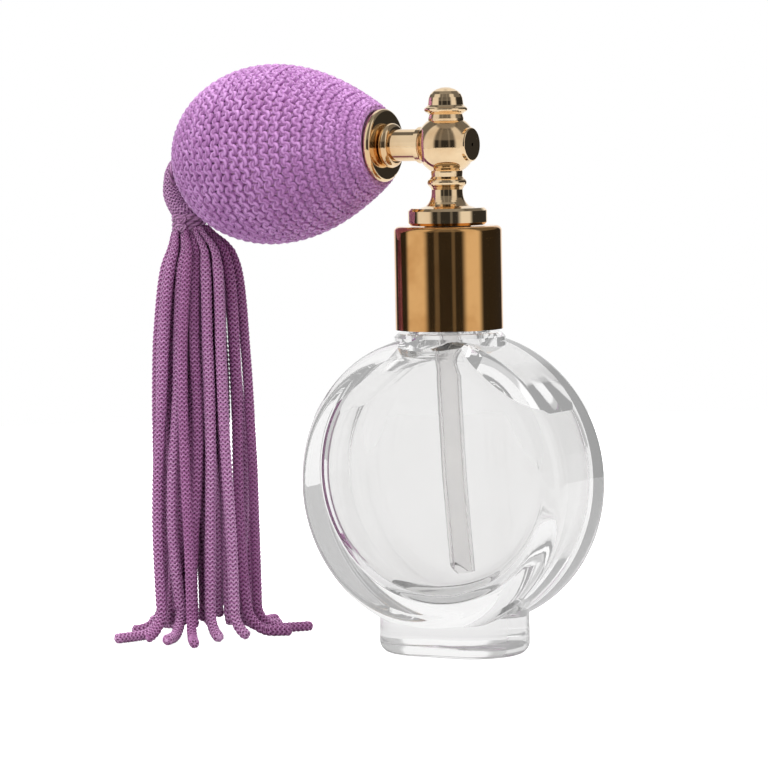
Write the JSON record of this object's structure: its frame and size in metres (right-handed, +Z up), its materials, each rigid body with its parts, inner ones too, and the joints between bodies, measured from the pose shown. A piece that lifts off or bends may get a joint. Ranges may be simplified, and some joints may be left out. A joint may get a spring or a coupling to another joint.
{
  "type": "perfume bottle",
  "caption": "Round flat glass perfume bottle with a screw-on ball spray head, a side arm, a knitted squeeze bulb and a hanging cord tassel.",
  "frame": {"origin": "centre of the foot's underside, on the bottle's axis", "axes": "+Z up along the neck and spray head, +X from the squeeze bulb to the nozzle, +Y to the left of a viewer who looks along +X"},
  "size_m": [0.0748, 0.0268, 0.0869],
  "materials": {
    "clear_glass": "clear, polished",
    "pale_gold": "polished pale rose gold plating",
    "amber_gold": "polished amber gold plating",
    "white_plastic": "moulded, satin",
    "tube_plastic": "milky translucent",
    "seal_rubber": "smooth",
    "bulb_rubber": "matt mauve",
    "nickel": "plain nickel plate",
    "ball_steel": "polished",
    "lilac_knit": "knitted lilac yarn",
    "tassel_yarn": "knitted chain cords, purple"
  },
  "bodies": {
    "bottle": {"glass_bottle": "clear_glass"},
    "stem": {"stem_core": "white_plastic", "swivel_seal": "seal_rubber", "neck_gasket": "white_plastic", "dip_tube": "tube_plastic"},
    "collar": {"ferrule": "amber_gold", "threaded_insert": "white_plastic"},
    "head": {"swivel_seat": "white_plastic", "spray_head": "pale_gold", "finial": "pale_gold", "nozzle_tip": "pale_gold", "mixing_plug": "white_plastic", "air_arm": "pale_gold", "arm_ring": "pale_gold", "flange_plate": "pale_gold", "bulb_nipple": "nickel", "outlet_seat": "white_plastic", "rubber_bulb": "bulb_rubber", "knit_cover": "lilac_knit"},
    "outlet_check": {"outlet_ball": "ball_steel"},
    "bulb_tail": {"inlet_valve": "nickel", "inlet_cage": "white_plastic", "tail_eye": "nickel"},
    "inlet_check": {"inlet_ball": "ball_steel"},
    "loop": {"tassel_loop": "tassel_yarn"},
    "tassel": {"tassel_head": "tassel_yarn", "tassel_tie": "tassel_yarn", "tassel_skirt": "tassel_yarn"}
  },
  "joints": [
    {"name": "head_lift", "type": "slide", "parent": "bottle", "child": "stem", "axis": [0, 0, 1], "range_m": [0, 0.0042]},
    {"name": "collar_turn", "type": "hinge", "parent": "stem", "child": "collar", "pos_m": [0, 0, 0.055], "axis": [0, 0, 1], "range_deg": [0, 540]},
    {"name": "head_swivel", "type": "hinge", "parent": "stem", "child": "head", "pos_m": [0, 0, 0.0625], "axis": [0, 0, 1], "continuous": true},
    {"name": "outlet_check_lift", "type": "slide", "parent": "head", "child": "outlet_check", "axis": [1, 0, 0], "range_m": [0, 0.0007]},
    {"name": "bulb_squeeze", "type": "slide", "parent": "head", "child": "bulb_tail", "axis": [0.9981, 0, 0.061], "range_m": [0, 0.01], "stiffness_N_per_m": 600, "deforming": ["rubber_bulb", "knit_cover"]},
    {"name": "inlet_check_lift", "type": "slide", "parent": "bulb_tail", "child": "inlet_check", "axis": [0.9981, 0, 0.061], "range_m": [0, 0.0006]},
    {"name": "tassel_sway", "type": "hinge", "parent": "bulb_tail", "child": "loop", "pos_m": [-0.04673, 0, 0.07243], "axis": [1, 0, 0], "range_deg": [-30, 30]},
    {"name": "tassel_swing", "type": "hinge", "parent": "loop", "child": "tassel", "pos_m": [-0.04673, 0, 0.06843], "axis": [0, 1, 0], "range_deg": [0, 45]}
  ],
  "couplings": [
    {"joint": "collar_turn", "follows": "head_lift", "rad_per_m": 2244}
  ]
}
